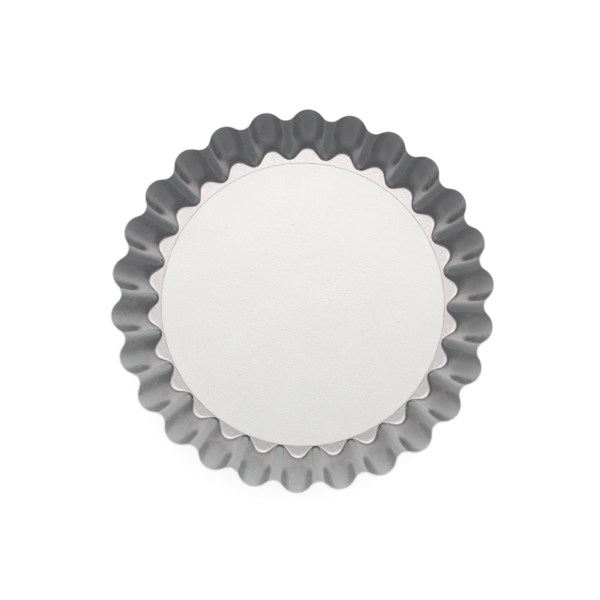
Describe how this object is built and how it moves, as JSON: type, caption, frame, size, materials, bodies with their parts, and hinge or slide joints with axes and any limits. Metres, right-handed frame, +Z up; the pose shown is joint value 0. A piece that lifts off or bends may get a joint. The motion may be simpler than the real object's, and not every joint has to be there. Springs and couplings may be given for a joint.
{
  "type": "mini tart pan",
  "caption": "Shallow round fluted tart mould with a flaring wall, a plain cut rim, an inward ledge at its foot and a flat loose disc that lies on the ledge and lifts out with the tart.",
  "frame": {"origin": "on the pan's axis, on the surface that it stands on, which is the underside of the ledge", "axes": "+Z up out of the pan along its axis, +X through the crest of a flute"},
  "size_m": [0.1046, 0.1038, 0.02],
  "materials": {
    "ring_sheet": "satin",
    "base_sheet": "matt"
  },
  "bodies": {
    "ring": {"fluted_ring": "ring_sheet"},
    "base": {"loose_base": "base_sheet"}
  },
  "joints": [
    {"name": "base_lift", "type": "slide", "parent": "ring", "child": "base", "axis": [0, 0, 1], "range_m": [0, 0.03]}
  ]
}
